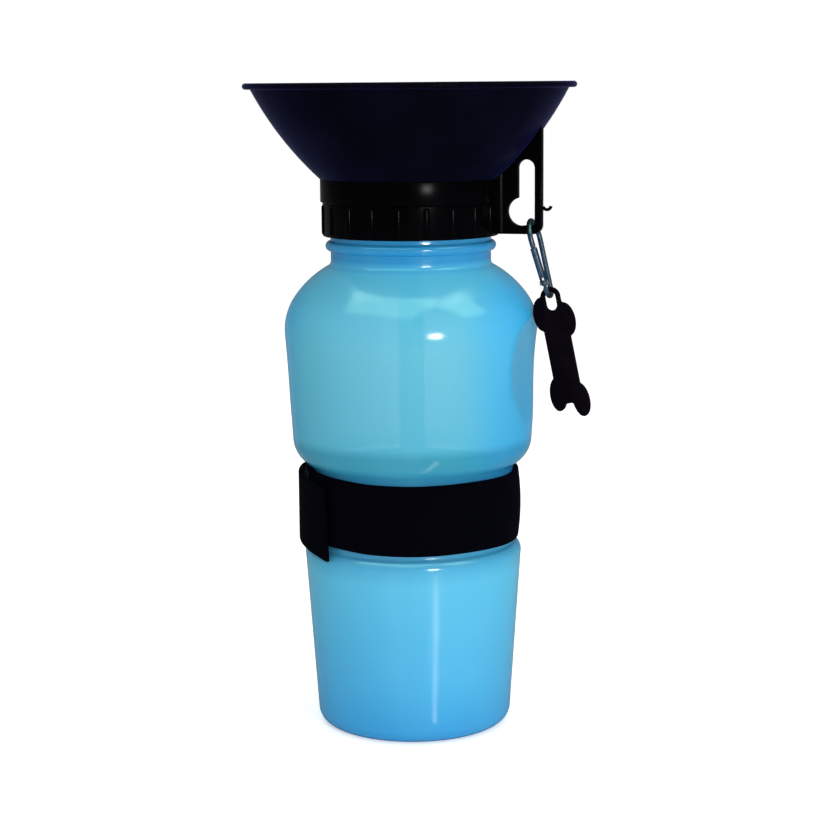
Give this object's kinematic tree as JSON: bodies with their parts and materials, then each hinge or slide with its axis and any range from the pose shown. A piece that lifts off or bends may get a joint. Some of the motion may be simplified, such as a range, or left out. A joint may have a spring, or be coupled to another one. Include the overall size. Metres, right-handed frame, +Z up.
{
  "type": "dog travel water bottle",
  "caption": "Squeeze bottle for dogs with a screw-on drinking bowl, dip tube and push-pull valve, a hand strap round the waist, and a clip with a bone-shaped fob on a slotted handle.",
  "frame": {"origin": "centre of the base, on the surface that the bottle stands on", "axes": "+Z up along the bottle's axis, +X towards the handle plate with the clip"},
  "size_m": [0.1289, 0.122, 0.2397],
  "materials": {
    "blue_shell": "translucent blue moulded polyethylene, smooth satin gloss",
    "black_moulding": "black moulded plastic, glossy with a faint blue-violet sheen",
    "valve_plastic": "black moulded plastic, satin",
    "tube_plastic": "natural translucent extruded plastic",
    "seal_rubber": "soft dark elastomer",
    "webbing": "black woven webbing",
    "hook_loop": "black hook-and-loop tape",
    "clip_metal": "blue-grey anodised metal, satin",
    "rivet_steel": "bright steel",
    "fob_vinyl": "black soft moulded vinyl, matte"
  },
  "bodies": {
    "bottle": {"bottle": "blue_shell", "strap_band": "webbing", "strap_hook_patch": "hook_loop", "strap_loop_patch": "hook_loop"},
    "lifted": {"neck_gasket": "seal_rubber"},
    "risen": {"dip_tube": "tube_plastic"},
    "cap": {"screw_collar": "black_moulding", "bowl": "black_moulding", "bowl_seal_ring": "seal_rubber"},
    "valve": {"valve_knob": "valve_plastic", "valve_seal": "seal_rubber"},
    "clip": {"clip_frame": "clip_metal", "gate_rivet": "rivet_steel"},
    "gate": {"clip_gate": "clip_metal", "gate_spring": "rivet_steel"},
    "fob": {"bone_fob": "fob_vinyl"}
  },
  "joints": [
    {"name": "cap_pull", "type": "slide", "parent": "bottle", "child": "lifted", "axis": [0, 0, 1], "range_m": [0, 0.21]},
    {"name": "thread_rise", "type": "slide", "parent": "lifted", "child": "risen", "axis": [0, 0, 1], "range_m": [0, 0.00605]},
    {"name": "cap_turn", "type": "hinge", "parent": "risen", "child": "cap", "pos_m": [0, 0, 0.20492], "axis": [0, 0, 1], "range_deg": [0, 540]},
    {"name": "valve_pull", "type": "slide", "parent": "cap", "child": "valve", "axis": [0, 0, 1], "range_m": [0, 0.004]},
    {"name": "clip_swing", "type": "hinge", "parent": "cap", "child": "clip", "pos_m": [0.0455, 0, 0.18972], "axis": [0, -1, 0], "range_deg": [0, 75]},
    {"name": "gate_open", "type": "hinge", "parent": "clip", "child": "gate", "pos_m": [0.05141, -0.00392, 0.16766], "axis": [-0.9659, 0, -0.2588], "range_deg": [0, 28], "stiffness_Nm_per_rad": 0.02, "springref_deg": -11.46},
    {"name": "fob_swing", "type": "hinge", "parent": "clip", "child": "fob", "pos_m": [0.05275, 0, 0.16267], "axis": [0, -1, 0], "range_deg": [0, 60]}
  ],
  "couplings": [
    {"joint": "thread_rise", "follows": "cap_turn", "m_per_rad": 0.00063662}
  ]
}
